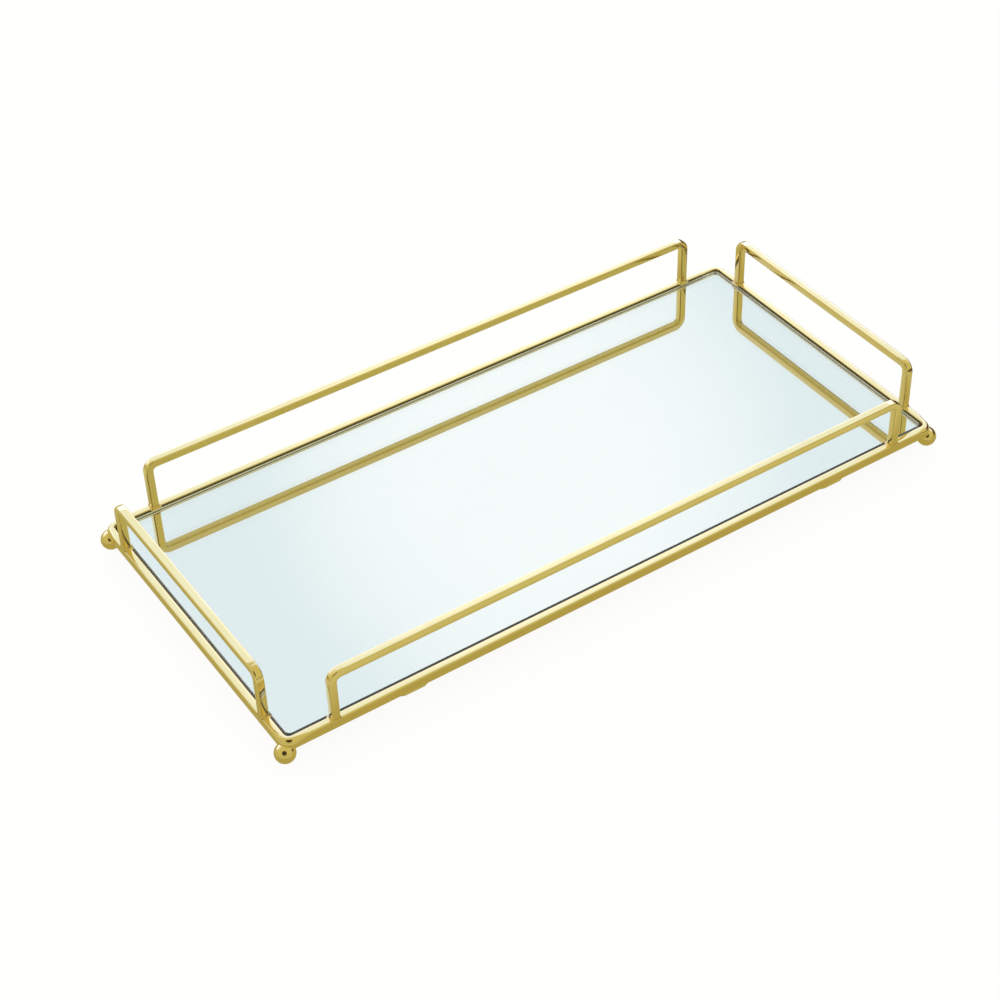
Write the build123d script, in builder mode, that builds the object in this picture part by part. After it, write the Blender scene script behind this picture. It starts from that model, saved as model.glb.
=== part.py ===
from build123d import *
import os

# Dresser vanity tray: a mirror in a low frame of flat bar, with a rail of square bar on each side and four
# ball feet. Millimetres, +Z up, X along the long side. The origin is on the table, under the middle of the tray.

os.makedirs("parts", exist_ok=True)

# Base frame: flat bar on edge, bent into a rounded rectangle
frame_length = 400.0
frame_width = 188.0
bar_width = 4.0
bar_height = 5.7
bar_rounding = 0.8
corner_radius = 6.5

# Butt joint that closes the frame, in the front bar beside the front rail's left leg
seam_gap = 0.3
seam_recess = 0.12
seam_offset = 0.9

# Gallery rails: square bar bent into an upside-down U
rail_bar = 4.4
rail_rounding = 1.0
rail_bend_radius = 6.5
rail_rise = 29.6
long_rail_length = 347.4
side_rail_length = 146.8

# Braze beads in the corners between the rail legs and the frame
bead_leg = 1.4
bead_width = 2.4

# Ball feet, each notched to seat under a corner of the frame and stand proud of it
foot_diameter = 10.6
foot_seat_height = 3.1
foot_inset_x = 1.9
foot_inset_y = 3.5

# Mirror stack inside the frame: glass, silvering, backing board, pads
mirror_recess = 0.4
pane_gap = 1.2
pane_corner_radius = 2.5
glass_thickness = 3.0
glass_edge_chamfer = 0.25
silvering_thickness = 0.1
silvering_margin = 0.5
board_gap = 0.6
pad_thickness = 0.3
pad_length = 12.0
pad_depth = 6.0

# Support tabs welded under the long bars
tab_length = 19.0
tab_depth = 14.0
tab_thickness = 1.3
tab_corner_radius = 5.0
tab_edge_inset = 0.3
tab_spacing = 258.0

# Levels above the table
foot_radius = foot_diameter / 2
frame_bottom = foot_radius + foot_seat_height
frame_top = frame_bottom + bar_height
rail_top = frame_top + rail_rise
glass_top = frame_top - mirror_recess
glass_bottom = glass_top - glass_thickness
board_top = glass_bottom - silvering_thickness
board_bottom = frame_bottom + pad_thickness

# Half sizes and the middle lines of the bars
half_length = frame_length / 2
half_width = frame_width / 2
inner_length = frame_length - 2 * bar_width
inner_width = frame_width - 2 * bar_width
inner_radius = corner_radius - bar_width
front_bar_line = half_width - bar_width / 2
bar_middle = frame_bottom + bar_height / 2

SIDES_X = {"left": -1, "right": 1}
SIDES_Y = {"front": -1, "rear": 1}


def save(part, name):
    """Label a finished piece and write it to its own STEP file."""
    part.label = name
    export_step(part, f"parts/{name}.step")


# Base frame, open at the seam
seam_x = -long_rail_length / 2 - seam_offset
with BuildPart() as base_frame:
    with BuildSketch(Plane.XY.offset(frame_bottom)):
        RectangleRounded(frame_length, frame_width, corner_radius)
        RectangleRounded(inner_length, inner_width, inner_radius, mode=Mode.SUBTRACT)
    extrude(amount=bar_height)
    fillet(base_frame.faces().filter_by(Axis.Z).edges(), radius=bar_rounding)
    with Locations((seam_x, -front_bar_line, bar_middle)):
        Box(seam_gap, 2 * bar_width, 2 * bar_height, mode=Mode.SUBTRACT)
save(base_frame.part, "base_frame")

# Weld that fills the seam, a little lower than the faces of the bar
with BuildPart() as frame_joint_weld:
    with BuildSketch(Plane.YZ.offset(seam_x - seam_gap / 2)):
        with Locations((-front_bar_line, bar_middle)):
            RectangleRounded(bar_width - 2 * seam_recess, bar_height - 2 * seam_recess, bar_rounding)
    extrude(amount=seam_gap)
save(frame_joint_weld.part, "frame_joint_weld")


def rail_plane(axis, side):
    """Upright plane through the middle line of a rail, its x along the rail and its y up."""
    if axis == "x":
        return Plane(origin=(0, side * (half_width - rail_bar / 2), 0), x_dir=(1, 0, 0), z_dir=(0, -1, 0))
    return Plane(origin=(side * (half_length - rail_bar / 2), 0, 0), x_dir=(0, 1, 0), z_dir=(1, 0, 0))


def make_rail(name, plane, length):
    """One bent bar: up from the frame, along, and down again."""
    leg = length / 2 - rail_bar / 2
    bar_line = rail_top - rail_bar / 2
    with BuildPart() as rail:
        with BuildLine(plane) as path:
            FilletPolyline(
                (-leg, frame_top),
                (-leg, bar_line),
                (leg, bar_line),
                (leg, frame_top),
                radius=rail_bend_radius - rail_bar / 2,
            )
        with BuildSketch(Plane(origin=path.line @ 0, x_dir=plane.x_dir, z_dir=path.line % 0)):
            RectangleRounded(rail_bar, rail_bar, rail_rounding)
        sweep()
    save(rail.part, name)


def make_braze(name, plane, length):
    """Four hollow-faced beads, one on each side of both legs of a rail."""
    inner_face = length / 2 - rail_bar
    outer_face = length / 2
    with BuildPart() as braze:
        with BuildSketch(plane):
            for corner, outward in ((inner_face, -1), (outer_face, 1)):
                for mirrored in (-1, 1):
                    foot = mirrored * corner
                    tip = foot + mirrored * outward * bead_leg
                    with BuildLine():
                        Polyline((foot, frame_top + bead_leg), (foot, frame_top), (tip, frame_top))
                        RadiusArc(
                            (tip, frame_top),
                            (foot, frame_top + bead_leg),
                            mirrored * outward * bead_leg,
                        )
                    make_face()
        extrude(amount=bead_width / 2, both=True)
    save(braze.part, name)


# Rails and their braze beads
for side_name, side in SIDES_Y.items():
    make_rail(f"{side_name}_rail", rail_plane("x", side), long_rail_length)
    make_braze(f"{side_name}_rail_braze", rail_plane("x", side), long_rail_length)
for side_name, side in SIDES_X.items():
    make_rail(f"{side_name}_rail", rail_plane("y", side), side_rail_length)
    make_braze(f"{side_name}_rail_braze", rail_plane("y", side), side_rail_length)

# Ball feet
for y_name, y_side in SIDES_Y.items():
    for x_name, x_side in SIDES_X.items():
        foot_x = x_side * (half_length - foot_inset_x)
        foot_y = y_side * (half_width - foot_inset_y)
        with BuildPart() as ball_foot:
            with Locations((foot_x, foot_y, foot_radius)):
                Sphere(foot_radius)
            with BuildSketch(Plane.XY.offset(frame_bottom)):
                RectangleRounded(frame_length, frame_width, corner_radius)
            extrude(amount=foot_radius, mode=Mode.SUBTRACT)
        save(ball_foot.part, f"ball_foot_{y_name}_{x_name}")

# Mirror pane with ground edges
with BuildPart() as mirror_glass:
    with BuildSketch(Plane.XY.offset(glass_bottom)):
        RectangleRounded(inner_length - 2 * pane_gap, inner_width - 2 * pane_gap, pane_corner_radius)
    extrude(amount=glass_thickness)
    chamfer(mirror_glass.faces().filter_by(Axis.Z).edges(), length=glass_edge_chamfer)
save(mirror_glass.part, "mirror_glass")

# Silver and its paint, stopped short of the pane's edge
silvering_inset = pane_gap + silvering_margin
with BuildPart() as mirror_silvering:
    with BuildSketch(Plane.XY.offset(board_top)):
        RectangleRounded(
            inner_length - 2 * silvering_inset,
            inner_width - 2 * silvering_inset,
            pane_corner_radius - silvering_margin,
        )
    extrude(amount=silvering_thickness)
save(mirror_silvering.part, "mirror_silvering")

# Backing board
with BuildPart() as backing_board:
    with BuildSketch(Plane.XY.offset(board_bottom)):
        RectangleRounded(inner_length - 2 * board_gap, inner_width - 2 * board_gap, inner_radius - board_gap)
    extrude(amount=board_top - board_bottom)
save(backing_board.part, "backing_board")

# Support tabs, each welded under a long bar and reaching in under the board
tab_middle_y = half_width - tab_edge_inset - tab_depth / 2
for y_name, y_side in SIDES_Y.items():
    for x_name, x_side in SIDES_X.items():
        with BuildPart() as support_tab:
            with BuildSketch(Plane.XY.offset(frame_bottom - tab_thickness)):
                with Locations((x_side * tab_spacing / 2, y_side * tab_middle_y)):
                    RectangleRounded(tab_length, tab_depth, tab_corner_radius)
            extrude(amount=tab_thickness)
        save(support_tab.part, f"support_tab_{y_name}_{x_name}")

# Adhesive pads between the tabs and the board
pad_middle_y = inner_width / 2 - board_gap - pad_depth / 2
with BuildPart() as adhesive_pads:
    with BuildSketch(Plane.XY.offset(frame_bottom)):
        with GridLocations(tab_spacing, 2 * pad_middle_y, 2, 2):
            Rectangle(pad_length, pad_depth)
    extrude(amount=pad_thickness)
save(adhesive_pads.part, "adhesive_pads")
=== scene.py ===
import math

import bmesh
import bpy
from mathutils import Matrix, Vector, noise


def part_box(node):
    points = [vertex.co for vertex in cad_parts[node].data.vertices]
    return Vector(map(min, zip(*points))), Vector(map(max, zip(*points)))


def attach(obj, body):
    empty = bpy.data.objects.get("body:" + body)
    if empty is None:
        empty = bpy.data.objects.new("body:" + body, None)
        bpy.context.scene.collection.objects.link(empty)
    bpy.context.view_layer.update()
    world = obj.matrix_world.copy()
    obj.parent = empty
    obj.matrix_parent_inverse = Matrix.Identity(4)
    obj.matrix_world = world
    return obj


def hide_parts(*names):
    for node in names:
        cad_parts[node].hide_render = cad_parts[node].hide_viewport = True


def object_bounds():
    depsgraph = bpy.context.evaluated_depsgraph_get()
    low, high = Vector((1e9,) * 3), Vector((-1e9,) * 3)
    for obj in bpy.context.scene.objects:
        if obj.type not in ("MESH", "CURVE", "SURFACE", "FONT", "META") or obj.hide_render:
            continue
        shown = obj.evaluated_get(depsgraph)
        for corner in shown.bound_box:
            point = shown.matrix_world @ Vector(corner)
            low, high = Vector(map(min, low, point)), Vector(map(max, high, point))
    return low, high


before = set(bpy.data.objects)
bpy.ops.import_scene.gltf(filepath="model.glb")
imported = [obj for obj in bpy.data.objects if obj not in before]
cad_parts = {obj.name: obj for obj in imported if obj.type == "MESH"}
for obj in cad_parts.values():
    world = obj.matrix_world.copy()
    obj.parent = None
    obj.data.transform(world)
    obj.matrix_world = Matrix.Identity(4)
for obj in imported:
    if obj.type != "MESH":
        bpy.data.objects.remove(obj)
cad_low, cad_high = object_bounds()

MM = 0.001
UP = Vector((0, 0, 1))


# ---------------------------------------------------------------- camera

CAMERA_AZIMUTH = math.radians(-34.09)
CAMERA_ELEVATION = math.radians(40.66)
CAMERA_ROLL = math.radians(1.01)
CAMERA_DISTANCE = 1133.2 * MM
AIM_RIGHT = 3.85 * MM
AIM_FRONT = 11.0 * MM
LENS_MM = 77.95
SENSOR_MM = 36.0
CLIP_START = 10.0 * MM
SHIFT_X = -0.0463
SHIFT_Y = -0.0098


def direction(azimuth, elevation):
    """Unit vector towards a point seen at that azimuth and elevation; azimuth 0 is in front of the tray."""
    flat = math.cos(elevation)
    return Vector((math.sin(azimuth) * flat, -math.cos(azimuth) * flat, math.sin(elevation)))


def make_camera():
    """The photo's viewpoint, fitted to the tray's straight edges and ball feet."""
    middle = (cad_low + cad_high) / 2
    frame_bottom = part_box("base_frame")[0].z
    aim = Vector((middle.x + AIM_RIGHT, middle.y - AIM_FRONT, frame_bottom))
    back = direction(CAMERA_AZIMUTH, CAMERA_ELEVATION)
    right = UP.cross(back).normalized()
    upright = back.cross(right)
    turn = Matrix.Rotation(-CAMERA_ROLL, 3, back)
    axes = Matrix((turn @ right, turn @ upright, back)).transposed()

    data = bpy.data.cameras.new("photo_camera")
    data.sensor_width = SENSOR_MM
    data.lens = LENS_MM
    data.shift_x = SHIFT_X
    data.shift_y = SHIFT_Y
    data.clip_start = CLIP_START
    camera = bpy.data.objects.new("photo_camera", data)
    camera.matrix_world = Matrix.Translation(aim + back * CAMERA_DISTANCE) @ axes.to_4x4()
    bpy.context.scene.collection.objects.link(camera)
    bpy.context.scene.camera = camera


# ---------------------------------------------------------------- node helpers

class Nodes:
    """A short way to add and join shader nodes."""

    def __init__(self, tree):
        self.tree = tree
        self.tree.nodes.clear()

    def add(self, kind, settings=None, **inputs):
        node = self.tree.nodes.new(kind)
        for key, value in (settings or {}).items():
            setattr(node, key, value)
        for key, value in inputs.items():
            self.put(node, key.replace("_", " "), value)
        return node

    def put(self, node, socket, value):
        target = node.inputs[int(socket) if str(socket).isdigit() else socket]
        if isinstance(value, bpy.types.NodeSocket):
            self.tree.links.new(value, target)
        else:
            target.default_value = value

    def math(self, operation, a, b=0.0):
        node = self.add("ShaderNodeMath", {"operation": operation})
        self.put(node, 0, a)
        self.put(node, 1, b)
        return node.outputs[0]

    def mix_colour(self, factor, a, b):
        # A Mix node keeps its colours in sockets 6 and 7, and its result in 2.
        node = self.add("ShaderNodeMix", {"data_type": "RGBA"})
        self.put(node, 0, factor)
        self.put(node, 6, a)
        self.put(node, 7, b)
        return node.outputs[2]

    def ramp(self, value, low, high, to_low=0.0, to_high=1.0):
        node = self.add("ShaderNodeMapRange", {"interpolation_type": "SMOOTHSTEP"})
        for index, item in enumerate((value, low, high, to_low, to_high)):
            self.put(node, index, item)
        return node.outputs[0]

    def noise(self, place, scale, detail=2.0, roughness=0.5, distortion=0.0):
        node = self.add("ShaderNodeTexNoise", Scale=scale, Detail=detail, Roughness=roughness)
        self.put(node, "Distortion", distortion)
        self.put(node, "Vector", place)
        return node.outputs["Fac"]


def rgba(red, green, blue):
    return (red, green, blue, 1.0)


# ---------------------------------------------------------------- studio

SKY_REAR = rgba(0.93, 1.04, 1.08)
SKY_SOFTBOX = rgba(1.14, 1.19, 1.21)
SKY_BAND = rgba(1.55, 1.63, 2.15)
SKY_CEILING = rgba(0.64, 0.59, 0.25)
SKY_FLAG = rgba(0.10, 0.07, 0.045)
SKY_SIDE = rgba(0.76, 0.70, 0.38)
SKY_FRONT = rgba(0.62, 0.57, 0.22)
SKY_HORIZON = rgba(0.52, 0.46, 0.17)
SKY_CAMERA_SPOT = rgba(0.06, 0.045, 0.03)
SKY_SEEN = rgba(1.0, 1.0, 1.0)
SPOT_ANGLES = (20, 28)
SOFTBOX_AZIMUTH = math.radians(146.4)
SOFTBOX_ELEVATION = math.radians(40.2)
SOFTBOX_ANGLES = (2.0, 7.8)
FLAG_AZIMUTH = math.radians(95.0)
FLAG_ANGLES = (33, 43)

# Where each part of the dome starts, and where it is full. FACING runs from -1, level on the camera's side, to
# 1, level on the wall behind the tray. FOOT and HEAD are heights, as the sine of the elevation.
REAR_FACING = (0.15, 0.62)
BAND_FACING = (0.1, 0.6)
FRONT_FACING = (0.25, -0.15)
BAND_FOOT = (0.18, 0.30)
BAND_HEAD = (0.57, 0.50)
CEILING_FOOT = (0.76, 0.86)
FLAG_HEAD = (0.50, 0.40)
HORIZON_HEAD = (0.17, 0.08)

FLOOR_GLOW = rgba(0.94, 0.94, 0.94)
FLOOR_PAPER = rgba(0.10, 0.10, 0.10)
# In reflections the floor is a painted glow: darker next to the tray as painted shadow, and dark on the right
# as painted shade
FLOOR_NEAR_PAINTED_SHADOW = rgba(0.46, 0.40, 0.13)
FLOOR_BESIDE = rgba(0.63, 0.60, 0.28)
FLOOR_FAR = rgba(0.36, 0.33, 0.26)
# Painted shade on the floor to the right of the tray, seen only in reflections
FLOOR_RIGHT_PAINTED_SHADE = rgba(0.12, 0.09, 0.05)
FLOOR_SIZE = 12.0

# Distances from the tray between which one shade gives way to the next
BESIDE_REACH = (8 * MM, 45 * MM)
FAR_REACH = (150 * MM, 600 * MM)
RIGHT_REACH = (25 * MM, 80 * MM)


def make_sky():
    """Soft studio dome, white to the camera. Reflections see a bright rear wall with a softbox glow, plainer
    sides, a warm front and ceiling, a dark flag low on the right and the dark camera."""
    world = bpy.data.worlds.new("studio_dome")
    world.use_nodes = True
    bpy.context.scene.world = world
    n = Nodes(world.node_tree)
    place = n.add("ShaderNodeTexCoord").outputs["Generated"]
    height = n.add("ShaderNodeSeparateXYZ", Vector=place).outputs["Z"]

    def along(vector):
        node = n.add("ShaderNodeVectorMath", {"operation": "DOT_PRODUCT"})
        n.put(node, 0, place)
        n.put(node, 1, vector)
        return node.outputs["Value"]

    def over(sky, share, colour):
        return n.mix_colour(share, sky, colour)

    def cap(middle, angles):
        inner, outer = (math.cos(math.radians(angle)) for angle in angles)
        return n.ramp(along(middle), outer, inner)

    back = direction(CAMERA_AZIMUTH, CAMERA_ELEVATION)
    rearward = along(Vector((-back.x, -back.y, 0)).normalized())
    sky = over(SKY_SIDE, n.ramp(rearward, *REAR_FACING), SKY_REAR)
    band = n.math("MULTIPLY", n.ramp(height, *BAND_FOOT), n.ramp(height, *BAND_HEAD))
    sky = over(sky, n.math("MULTIPLY", band, n.ramp(rearward, *BAND_FACING)), SKY_BAND)
    sky = over(sky, n.ramp(height, *CEILING_FOOT), SKY_CEILING)
    sky = over(sky, n.ramp(rearward, *FRONT_FACING), SKY_FRONT)
    sky = over(sky, cap(direction(SOFTBOX_AZIMUTH, SOFTBOX_ELEVATION), SOFTBOX_ANGLES), SKY_SOFTBOX)
    sky = over(sky, n.ramp(height, *HORIZON_HEAD), SKY_HORIZON)
    flag = n.math("MULTIPLY", cap(direction(FLAG_AZIMUTH, 0), FLAG_ANGLES), n.ramp(height, *FLAG_HEAD))
    sky = over(sky, flag, SKY_FLAG)
    sky = over(sky, cap(back, SPOT_ANGLES), SKY_CAMERA_SPOT)
    sky = over(sky, n.add("ShaderNodeLightPath").outputs["Is Camera Ray"], SKY_SEEN)
    background = n.add("ShaderNodeBackground", Color=sky)
    output = n.add("ShaderNodeOutputWorld")
    n.put(output, "Surface", background.outputs[0])


def make_floor():
    """Pale paper to the camera. Reflections see it as a dim, warm painted glow, with painted shadow darkest by
    the tray and painted shade on the right.
    """
    material = bpy.data.materials.new("pale_floor")
    material.use_nodes = True
    n = Nodes(material.node_tree)
    seen = n.add("ShaderNodeLightPath").outputs["Is Camera Ray"]
    paper = n.add("ShaderNodeBsdfDiffuse", Color=FLOOR_PAPER)
    glow = n.add("ShaderNodeEmission", Color=FLOOR_GLOW)
    pale = n.add("ShaderNodeAddShader")
    n.put(pale, 0, paper.outputs[0])
    n.put(pale, 1, glow.outputs[0])

    place = n.add("ShaderNodeNewGeometry").outputs["Position"]
    split = n.add("ShaderNodeSeparateXYZ", Vector=place)
    gaps = []
    for axis, reach in (("X", cad_high.x), ("Y", cad_high.y)):
        outside = n.math("SUBTRACT", n.math("ABSOLUTE", split.outputs[axis]), reach)
        gap = n.math("MAXIMUM", outside, 0.0)
        gaps.append(n.math("MULTIPLY", gap, gap))
    distance = n.math("SQRT", n.math("ADD", gaps[0], gaps[1]))
    # Painted shadow next to the tray, giving way to the painted glow further off
    shade = n.mix_colour(n.ramp(distance, *BESIDE_REACH), FLOOR_NEAR_PAINTED_SHADOW, FLOOR_BESIDE)
    shade = n.mix_colour(n.ramp(distance, *FAR_REACH), shade, FLOOR_FAR)
    # Painted shade on the floor to the right of the tray
    rightward = n.math("SUBTRACT", split.outputs["X"], cad_high.x)
    shade = n.mix_colour(n.ramp(rightward, *RIGHT_REACH), shade, FLOOR_RIGHT_PAINTED_SHADE)
    # The floor's emitted look in reflections is painted light and shade
    dim = n.add("ShaderNodeEmission", Color=shade)
    mix = n.add("ShaderNodeMixShader")
    n.put(mix, 0, seen)
    n.put(mix, 1, dim.outputs[0])
    n.put(mix, 2, pale.outputs[0])
    output = n.add("ShaderNodeOutputMaterial")
    n.put(output, "Surface", mix.outputs[0])

    mesh = bpy.data.meshes.new("floor")
    half = FLOOR_SIZE / 2
    corners = [(-half, -half, 0), (half, -half, 0), (half, half, 0), (-half, half, 0)]
    mesh.from_pydata(corners, [], [(0, 1, 2, 3)])
    mesh.materials.append(material)
    floor = bpy.data.objects.new("floor", mesh)
    bpy.context.scene.collection.objects.link(floor)


# ---------------------------------------------------------------- materials

GLASS_IOR = 1.52
# Strength of the painted glow on the pane's ground edge, which emits light though it is no lamp
EDGE_PAINTED_GLOW = 0.07
GRAIN_HEIGHT = 0.02
FIBRE_SHARE = 0.6
PATCH_SHARE = 0.4

# The part of a noise's range that most of it lies in, tight for colour and wide for gloss
TIGHT = (0.35, 0.65)
WIDE = (0.3, 0.7)


def new_material(name):
    material = bpy.data.materials.new(name)
    material.use_nodes = True
    n = Nodes(material.node_tree)
    shader = n.add("ShaderNodeBsdfPrincipled")
    output = n.add("ShaderNodeOutputMaterial")
    n.put(output, "Surface", shader.outputs[0])
    place = n.add("ShaderNodeTexCoord").outputs["Object"]
    return material, n, shader, place


def gold_material(name, bright, deep, rough_low, rough_high, ripple):
    """Polished plating: faint mottling in colour and gloss, long ripples from the drawn bar, fine buffing."""
    material, n, shader, place = new_material(name)
    mottle = n.noise(place, scale=55.0, detail=4.0, roughness=0.55)
    n.put(shader, "Base Color", n.mix_colour(n.ramp(mottle, *TIGHT), deep, bright))
    shader.inputs["Metallic"].default_value = 1.0
    buff = n.noise(place, scale=420.0, detail=3.0, roughness=0.6)
    n.put(shader, "Roughness", n.ramp(buff, *WIDE, rough_low, rough_high))
    waves = n.noise(place, scale=90.0, detail=1.0, roughness=0.4, distortion=0.3)
    grain = n.noise(place, scale=2600.0, detail=2.0, roughness=0.5)
    height = n.math("ADD", n.math("MULTIPLY", waves, ripple), n.math("MULTIPLY", grain, GRAIN_HEIGHT))
    bump = n.add("ShaderNodeBump", Strength=0.35, Distance=0.0004, Height=height)
    n.put(shader, "Normal", bump.outputs[0])
    shader.inputs["Coat Weight"].default_value = 0.8
    shader.inputs["Coat Roughness"].default_value = 0.03
    return material


def glass_material():
    material, n, shader, place = new_material("float_glass")
    haze = n.noise(place, scale=24.0, detail=3.0, roughness=0.6)
    n.put(shader, "Base Color", n.mix_colour(haze, rgba(0.925, 0.945, 0.93), rgba(0.935, 0.955, 0.94)))
    n.put(shader, "Roughness", n.ramp(haze, 0.45, 0.7, to_low=0.0, to_high=0.012))
    shader.inputs["IOR"].default_value = GLASS_IOR
    shader.inputs["Transmission Weight"].default_value = 1.0
    return material


def ground_edge_material():
    """Ground glass edge: a fine grit that passes light, with a faint painted glow standing in for the light
    the pane carries to it.
    """
    material, n, shader, place = new_material("ground_glass_edge")
    grit = n.noise(place, scale=900.0, detail=3.0, roughness=0.6)
    n.put(shader, "Base Color", n.mix_colour(grit, rgba(0.93, 0.96, 0.95), rgba(0.97, 0.98, 0.97)))
    n.put(shader, "Roughness", n.ramp(grit, *WIDE, to_low=0.14, to_high=0.26))
    # Painted light: the edge's emission stands in for light carried through the pane
    n.put(shader, "Emission Color", n.mix_colour(grit, rgba(0.86, 0.90, 0.84), rgba(0.92, 0.94, 0.90)))
    shader.inputs["Emission Strength"].default_value = EDGE_PAINTED_GLOW
    shader.inputs["IOR"].default_value = GLASS_IOR
    shader.inputs["Transmission Weight"].default_value = 1.0
    return material


def silver_material():
    material, n, shader, place = new_material("silvering")
    cloud = n.noise(place, scale=9.0, detail=2.0, roughness=0.5)
    n.put(shader, "Base Color", n.mix_colour(cloud, rgba(0.84, 0.845, 0.835), rgba(0.86, 0.86, 0.85)))
    shader.inputs["Metallic"].default_value = 1.0
    n.put(shader, "Roughness", n.ramp(cloud, *WIDE, to_low=0.0, to_high=0.01))
    return material


def board_material():
    material, n, shader, place = new_material("hardboard")
    dark, light = rgba(0.16, 0.10, 0.06), rgba(0.27, 0.18, 0.11)
    fibre = n.noise(place, scale=700.0, detail=5.0, roughness=0.7)
    patch = n.noise(place, scale=30.0, detail=3.0, roughness=0.5)
    tone = n.math("ADD", n.math("MULTIPLY", fibre, FIBRE_SHARE), n.math("MULTIPLY", patch, PATCH_SHARE))
    n.put(shader, "Base Color", n.mix_colour(n.ramp(tone, *TIGHT), dark, light))
    n.put(shader, "Roughness", n.ramp(fibre, *WIDE, to_low=0.6, to_high=0.85))
    bump = n.add("ShaderNodeBump", Strength=0.4, Distance=0.0002, Height=fibre)
    n.put(shader, "Normal", bump.outputs[0])
    return material


def tape_material():
    material, n, shader, place = new_material("foam_tape")
    foam = n.noise(place, scale=2200.0, detail=3.0, roughness=0.6)
    n.put(shader, "Base Color", n.mix_colour(foam, rgba(0.72, 0.71, 0.67), rgba(0.86, 0.85, 0.81)))
    n.put(shader, "Roughness", n.ramp(foam, *WIDE, to_low=0.7, to_high=0.9))
    return material


# ---------------------------------------------------------------- mesh helpers

STATION = 2.5 * MM
CREASE = 0.4 * MM
BEND_STEPS = 14
QUARTER_STEPS = 9
STRAY = 0.025 * MM
STRAY_WAVE = 26.0 * MM
STRAY_SHIFT = Vector((0, 17.3, 0))
SHARP_ANGLE = math.radians(38)


def bar_profile(width, height, squareness):
    """Outline of a bar's section as (across, out) points. squareness holds a superellipse exponent for each
    quarter, anticlockwise from across and out both positive: 2 is round, and 8 a softly rounded square."""
    points = []
    for quarter in range(4):
        power = 2 / squareness[quarter]
        for step in range(QUARTER_STEPS):
            angle = math.pi / 2 * (quarter + step / QUARTER_STEPS)
            across, out = math.cos(angle), math.sin(angle)
            points.append(
                (
                    math.copysign(abs(across) ** power, across) * width / 2,
                    math.copysign(abs(out) ** power, out) * height / 2,
                )
            )
    return points


def bent_line(corners, radius, creases=()):
    """Stations of an open line of straight runs joined by arcs. Each is (point, direction, share of the way
    round the bend, crease from 0 to 1). creases holds the (bend, share) places that have one."""
    ends = [corners[0]]
    arcs = []
    for index in range(1, len(corners) - 1):
        before = (corners[index] - corners[index - 1]).normalized()
        after = (corners[index + 1] - corners[index]).normalized()
        turn = before.angle(after)
        reach = radius * math.tan(turn / 2)
        axis = before.cross(after).normalized()
        start = corners[index] - before * reach
        centre = start + axis.cross(before) * radius
        arc = []
        for step in range(BEND_STEPS + 1):
            spin = Matrix.Rotation(turn * step / BEND_STEPS, 3, axis)
            share = step / BEND_STEPS
            crease = 1.0 if (index - 1, share) in creases else 0.0
            arc.append((centre + spin @ (start - centre), spin @ before, share, crease))
        arcs.append(arc)
        ends.extend((start, arc[-1][0]))
    ends.append(corners[-1])
    stations = []
    for run in range(len(corners) - 1):
        first, last = ends[2 * run], ends[2 * run + 1]
        ahead = (last - first).normalized()
        near = first + ahead * (CREASE if run > 0 else 0.0)
        far = last - ahead * (CREASE if run < len(corners) - 2 else 0.0)
        steps = max(2, round((far - near).length / STATION))
        for step in range(steps + 1):
            stations.append((near.lerp(far, step / steps), ahead, 0.0, 0.0))
        if run < len(arcs):
            stations.extend(arcs[run])
    return stations


def wander(point, seed):
    """How far a drawn and bent bar strays from true at that point, across and outward."""
    place = point / STRAY_WAVE + Vector((seed, 0, 0))
    return STRAY * noise.noise(place), STRAY * noise.noise(place + STRAY_SHIFT)


def sweep(name, stations, sideways, profile, seed):
    """A bar along the stations, with capped ends. profile(point, share, crease) is a station's section."""
    shape = bmesh.new()
    rings = []
    for point, ahead, share, crease in stations:
        outward = ahead.cross(sideways)
        drift_across, drift_out = wander(point, seed)
        ring = []
        for across, out in profile(point, share, crease):
            offset = sideways * (across + drift_across) + outward * (out + drift_out)
            ring.append(shape.verts.new(point + offset))
        rings.append(ring)
    stitch(shape, rings)
    return finish_mesh(name, shape)


def stitch(shape, rings, side_material=0):
    """Quads between rings of the same length, and a face over the first and the last."""
    count = len(rings[0])
    for this, following in zip(rings, rings[1:]):
        for index in range(count):
            other = (index + 1) % count
            face = shape.faces.new((this[index], this[other], following[other], following[index]))
            face.material_index = side_material
    shape.faces.new(list(reversed(rings[0])))
    shape.faces.new(rings[-1])


def finish_mesh(name, shape):
    bmesh.ops.recalc_face_normals(shape, faces=shape.faces)
    mesh = bpy.data.meshes.new(name)
    shape.to_mesh(mesh)
    shape.free()
    mesh.polygons.foreach_set("use_smooth", [True] * len(mesh.polygons))
    mesh.set_sharp_from_angle(angle=SHARP_ANGLE)
    return mesh


def place_piece(mesh, materials, replaced):
    """Link a finished mesh, and say which CAD nodes it stands for and which material slot it fills."""
    for material in materials:
        mesh.materials.append(material)
    piece = bpy.data.objects.new(mesh.name, mesh)
    bpy.context.scene.collection.objects.link(piece)
    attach(piece, "root")
    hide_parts(*replaced)


# ---------------------------------------------------------------- metal

CREASE_DEPTH = 0.12 * MM
CREASE_NARROWING = 0.02
FRAME_SQUARENESS = 8.5
CORNER_SQUARENESS = 1.6
CORNER_WEAR = 7.0 * MM
RAIL_SQUARENESS = 7.0
RAIL_BEND_SQUARENESS = 4.5
BEND_THINNING = 0.03
BEND_SWELLING = 0.04
BAR_WIDTH = 4.0 * MM
CORNER_RADIUS = 6.5 * MM
RAIL_BEND = 6.5 * MM
WELD_WIDTH = 1.0 * MM
WELD_SINK = 0.96
WELD_STEPS = 4
BEAD_RISE = 1.5 * MM
BEAD_SPREAD = 1.1 * MM
BEAD_SINK = 0.3 * MM
BEAD_LUMP = 0.35 * MM
BEAD_LUMP_SIZE = 1.1 * MM
BEAD_STEPS = 6
BALL_SEGMENTS = 96
BALL_RINGS = 64

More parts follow.
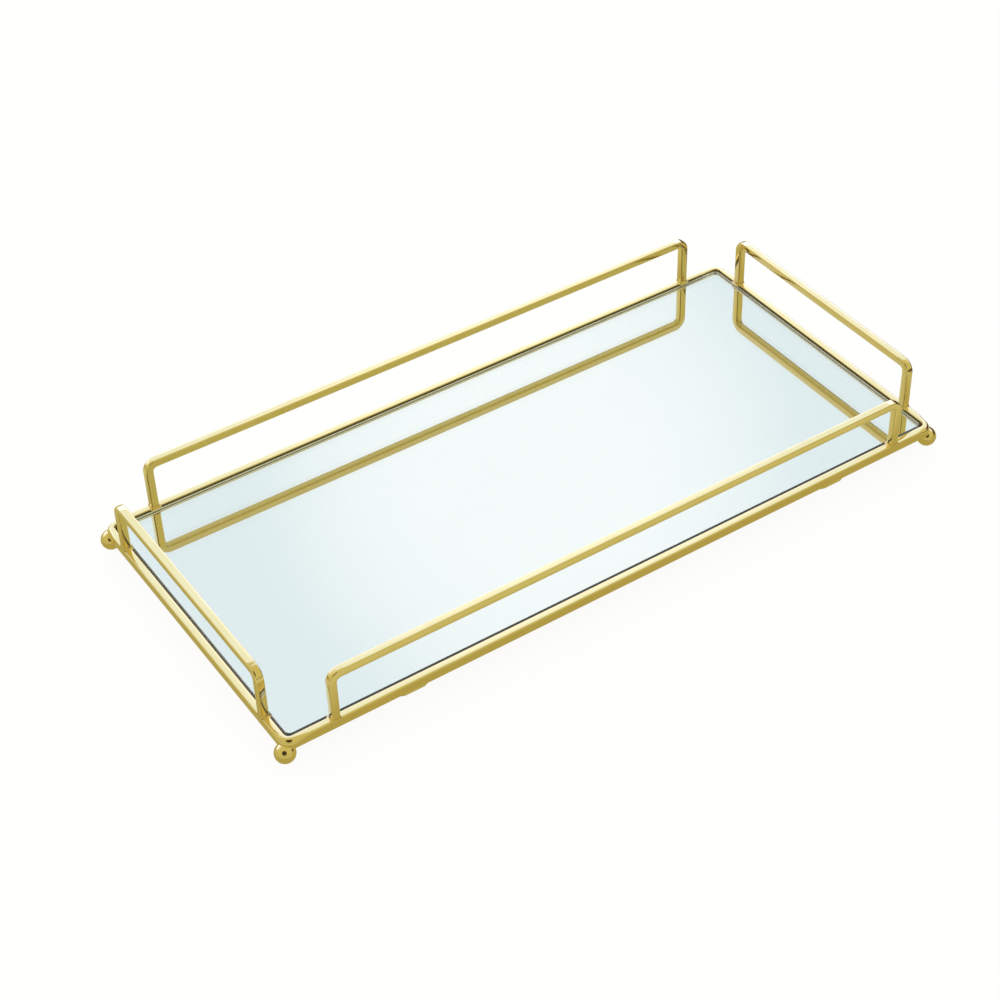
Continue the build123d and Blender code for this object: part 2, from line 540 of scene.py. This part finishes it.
# A bead stands this far off its bar, and its last ring is this far inside it.
BEAD_SKIN = 0.03 * MM
BEAD_TUCK = 0.05 * MM

# A ball's flat seat is this far up inside the frame, and starts this far in from the frame's outside.
SEAT_SINK = 0.15 * MM
SEAT_WALL = 0.7 * MM

# Each bar takes its stray from a different stretch of the noise.
FRAME_SEED = 3.1
WELD_SEED = 8.6
RAIL_SEED = 11


def frame_levels():
    low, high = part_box("base_frame")
    return low, high, (low.z + high.z) / 2


def make_base_frame(gold):
    """Flat bar on edge, bent round the pane and open at the seam. Its outer top edge is worn at corners."""
    low, high, level = frame_levels()
    seam_low, seam_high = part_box("frame_joint_weld")
    inset = BAR_WIDTH / 2
    left, right = low.x + inset, high.x - inset
    front, rear = low.y + inset, high.y - inset
    corners = [
        Vector((seam_high.x, front, level)),
        Vector((right, front, level)),
        Vector((right, rear, level)),
        Vector((left, rear, level)),
        Vector((left, front, level)),
        Vector((seam_low.x, front, level)),
    ]
    height = high.z - low.z - 2 * STRAY
    width = BAR_WIDTH - 2 * STRAY
    middle = (low + high) / 2
    half = (high - low) / 2
    straight = bar_profile(height, width, (FRAME_SQUARENESS,) * 4)
    worn = bar_profile(height, width, (CORNER_SQUARENESS,) + (FRAME_SQUARENESS,) * 3)

    def profile(point, share, crease):
        # How far the station is from the nearest bend, along either side
        before_x = half.x - CORNER_RADIUS - abs(point.x - middle.x)
        before_y = half.y - CORNER_RADIUS - abs(point.y - middle.y)
        wear = 1 - min(max(before_x, before_y, 0) / CORNER_WEAR, 1)
        wear = wear * wear * (3 - 2 * wear)
        points = []
        for (across, out), (worn_across, worn_out) in zip(straight, worn):
            points.append((across * (1 - wear) + worn_across * wear, out * (1 - wear) + worn_out * wear))
        return points

    mesh = sweep("tray_frame", bent_line(corners, CORNER_RADIUS - inset), UP, profile, FRAME_SEED)
    place_piece(mesh, [gold], ["base_frame"])


def make_weld(braze):
    """Dressed butt weld in the seam of the frame, a hair lower than the bar."""
    low, high, level = frame_levels()
    seam_low, seam_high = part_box("frame_joint_weld")
    middle = (seam_low + seam_high) / 2
    height = (high.z - low.z) * WELD_SINK
    width = BAR_WIDTH * WELD_SINK
    stations = []
    for step in range(WELD_STEPS + 1):
        reach = (2 * step / WELD_STEPS - 1) * WELD_WIDTH / 2
        stations.append((Vector((middle.x + reach, middle.y, level)), Vector((1, 0, 0)), 0.0, 0.0))
    section = bar_profile(height, width, (FRAME_SQUARENESS,) * 4)
    mesh = sweep("seam_weld", stations, UP, lambda *station: section, WELD_SEED)
    place_piece(mesh, [braze], ["frame_joint_weld"])


def rail_line(side):
    """Middle line of a rail: its four corners, thickness and direction along the rail."""
    low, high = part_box(side + "_rail")
    along_x = side in ("front", "rear")
    thick = high.y - low.y if along_x else high.x - low.x
    middle = (low + high) / 2
    half = ((high.x - low.x) if along_x else (high.y - low.y)) / 2 - thick / 2
    run = Vector((1, 0, 0)) if along_x else Vector((0, 1, 0))
    centre = Vector((middle.x, middle.y, 0))
    top = high.z - thick / 2
    corners = [
        centre - run * half + UP * low.z,
        centre - run * half + UP * top,
        centre + run * half + UP * top,
        centre + run * half + UP * low.z,
    ]
    return corners, thick, run


def make_rail(side, seed, gold):
    """Square bar bent into an upside-down U. A bend is thin outside, full inside and creased at its top."""
    corners, thick, run = rail_line(side)
    corners[0] = corners[0] - UP * BEAD_SINK
    corners[3] = corners[3] - UP * BEAD_SINK
    size = thick - 2 * STRAY

    def profile(point, share, crease):
        bent = math.sin(math.pi * share)
        outer = RAIL_SQUARENESS + (RAIL_BEND_SQUARENESS - RAIL_SQUARENESS) * bent
        points = []
        for across, out in bar_profile(size, size, (outer, outer, RAIL_SQUARENESS, RAIL_SQUARENESS)):
            depth = out / (size / 2)
            if depth > 0:
                out -= depth * (BEND_THINNING * bent * size / 2 + CREASE_DEPTH * crease)
                across *= 1 - CREASE_NARROWING * crease
            else:
                across *= 1 - BEND_SWELLING * bent * depth
            points.append((across, out))
        return points

    stations = bent_line(corners, RAIL_BEND - thick / 2, ((0, 1.0), (1, 0.0)))
    mesh = sweep(side + "_gallery_rail", stations, UP.cross(run), profile, seed)
    place_piece(mesh, [gold], [side + "_rail"])


def make_beads(side, seed, braze):
    """Braze drawn round the foot of each leg of a rail, flush with the outside of the frame."""
    corners, thick, _ = rail_line(side)
    frame_low, frame_high, _ = frame_levels()
    shape = bmesh.new()
    outline = bar_profile(thick, thick, (RAIL_SQUARENESS,) * 4)
    for foot in (corners[0], corners[3]):
        rings = []
        for step in range(BEAD_STEPS + 1):
            rise = step / BEAD_STEPS
            spread = BEAD_SPREAD * (1 - math.sqrt(1 - (1 - rise) ** 2)) if rise < 1 else 0.0
            ring = []
            for across, out in outline:
                ray = Vector((across, out, 0)).normalized()
                place = foot + Vector((across, out, 0)) + UP * rise * BEAD_RISE
                swell = noise.noise(place / BEAD_LUMP_SIZE + Vector((seed, 0, 0)))
                lump = 1 + BEAD_LUMP / BEAD_SPREAD * swell
                skin = -BEAD_TUCK if step == BEAD_STEPS else BEAD_SKIN
                point = place + ray * (spread * lump + skin)
                point.z = foot.z - BEAD_SINK + rise * (BEAD_RISE + BEAD_SINK) * lump
                point.x = min(max(point.x, frame_low.x), frame_high.x)
                point.y = min(max(point.y, frame_low.y), frame_high.y)
                ring.append(shape.verts.new(point))
            rings.append(ring)
        stitch(shape, rings)
    mesh = finish_mesh(side + "_rail_beads", shape)
    place_piece(mesh, [braze], [side + "_rail_braze"])


def make_ball(name, gold):
    """Ball foot, whole outside the frame. What lies under the frame's corner is flat, and out of sight."""
    low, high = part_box(name)
    frame_low, frame_high, _ = frame_levels()
    radius = (high.x - low.x) / 2
    centre = Vector(((low.x + high.x) / 2, (low.y + high.y) / 2, low.z + radius))
    shape = bmesh.new()
    bmesh.ops.create_uvsphere(shape, u_segments=BALL_SEGMENTS, v_segments=BALL_RINGS, radius=radius)
    seat = frame_low.z + SEAT_SINK
    for vert in shape.verts:
        vert.co += centre
        if vert.co.z > seat and depth_inside(vert.co, frame_low, frame_high) > SEAT_WALL:
            vert.co.z = seat
    mesh = finish_mesh(name + "_polished", shape)
    place_piece(mesh, [gold], [name])


def depth_inside(point, low, high):
    """How far inside the frame's rounded outline a point is, in plan."""
    middle = (low + high) / 2
    half = (high - low) / 2
    x = abs(point.x - middle.x) - (half.x - CORNER_RADIUS)
    y = abs(point.y - middle.y) - (half.y - CORNER_RADIUS)
    if x > 0 and y > 0:
        return CORNER_RADIUS - math.hypot(x, y)
    return CORNER_RADIUS - max(x, y)


# ---------------------------------------------------------------- plates

CORNER_STEPS = 10


def rounded_rectangle(low, high, radius):
    """Corner-rounded outline in plan, anticlockwise."""
    points = []
    for quarter, (x, y) in enumerate(((high.x, high.y), (low.x, high.y), (low.x, low.y), (high.x, low.y))):
        x_side = 1 if x == high.x else -1
        y_side = 1 if y == high.y else -1
        middle = Vector((x - x_side * radius, y - y_side * radius))
        for step in range(CORNER_STEPS + 1):
            angle = math.pi / 2 * (quarter + step / CORNER_STEPS)
            points.append(middle + radius * Vector((math.cos(angle), math.sin(angle))))
    return points


def add_plate(shape, low, high, radius, edge, edge_steps, side_material=0):
    """A flat plate with rounded corners. Its rims are rounded by edge in edge_steps, or chamfered in one."""
    levels = []
    for step in range(edge_steps + 1):
        angle = math.pi / 2 * step / edge_steps
        levels.append((low.z + edge * (1 - math.cos(angle)), edge * (1 - math.sin(angle))))
    levels += [(low.z + high.z - level, inset) for level, inset in reversed(levels)]
    rings = []
    for level, inset in levels:
        shrink = Vector((inset, inset, 0))
        outline = rounded_rectangle(low + shrink, high - shrink, radius - inset)
        rings.append([shape.verts.new((p.x, p.y, level)) for p in outline])
    stitch(shape, rings, side_material)


PANE_RADIUS = 2.5 * MM
ARRIS = 0.25 * MM
SILVER_RADIUS = 2.0 * MM
SILVER_EDGE = 0.02 * MM
BOARD_RADIUS = 1.9 * MM
BOARD_EDGE = 0.25 * MM
TAB_RADIUS = 5.0 * MM
TAB_EDGE = 0.4 * MM
PAD_SIZE = Vector((12.0 * MM, 6.0 * MM, 0))
PAD_RADIUS = 0.5 * MM
PAD_EDGE = 0.08 * MM
CHAMFER = 1
BOARD_EDGE_STEPS = 3
TAB_EDGE_STEPS = 4

# The silver reaches this far into the glass, so that no gap shows between them.
SILVER_OVERLAP = 0.02 * MM


def make_plate(name, node, materials, radius, edge, edge_steps, overlap=0.0):
    """A plate in place of one CAD node. The last of its materials is the one on its rim."""
    low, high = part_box(node)
    high.z += overlap
    shape = bmesh.new()
    add_plate(shape, low, high, radius, edge, edge_steps, len(materials) - 1)
    place_piece(finish_mesh(name, shape), materials, [node])


def make_pads(tape):
    """Four tape pads between the board and the support tabs, at the corners of the CAD node's box."""
    low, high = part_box("adhesive_pads")
    shape = bmesh.new()
    for x in (low.x, high.x - PAD_SIZE.x):
        for y in (low.y, high.y - PAD_SIZE.y):
            corner = Vector((x, y, low.z))
            add_plate(shape, corner, corner + PAD_SIZE + UP * (high.z - low.z), PAD_RADIUS, PAD_EDGE, CHAMFER)
    place_piece(finish_mesh("tape_pads", shape), [tape], ["adhesive_pads"])


# ---------------------------------------------------------------- making

make_camera()
make_sky()
make_floor()

gold = gold_material(
    "gold_plate",
    bright=rgba(0.95, 0.80, 0.47),
    deep=rgba(0.93, 0.775, 0.43),
    rough_low=0.05,
    rough_high=0.10,
    ripple=0.6,
)
braze = gold_material(
    "braze",
    bright=rgba(0.90, 0.74, 0.40),
    deep=rgba(0.78, 0.60, 0.28),
    rough_low=0.12,
    rough_high=0.24,
    ripple=1.2,
)
make_base_frame(gold)
make_weld(braze)
for seed, side in enumerate(("front", "rear", "left", "right"), start=RAIL_SEED):
    make_rail(side, seed, gold)
    make_beads(side, seed, braze)
for name in sorted(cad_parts):
    if name.startswith("ball_foot"):
        make_ball(name, gold)
    if name.startswith("support_tab"):
        make_plate(name + "_plate", name, [gold], TAB_RADIUS, TAB_EDGE, TAB_EDGE_STEPS)
glass = [glass_material(), ground_edge_material()]
coat = [silver_material()]
board = [board_material()]
make_plate("mirror_pane", "mirror_glass", glass, PANE_RADIUS, ARRIS, CHAMFER)
make_plate(
    "silver_coat",
    "mirror_silvering",
    coat,
    SILVER_RADIUS,
    SILVER_EDGE,
    CHAMFER,
    overlap=SILVER_OVERLAP,
)
make_plate("back_board", "backing_board", board, BOARD_RADIUS, BOARD_EDGE, BOARD_EDGE_STEPS)
make_pads(tape_material())

bpy.context.scene.view_settings.view_transform = "Standard"
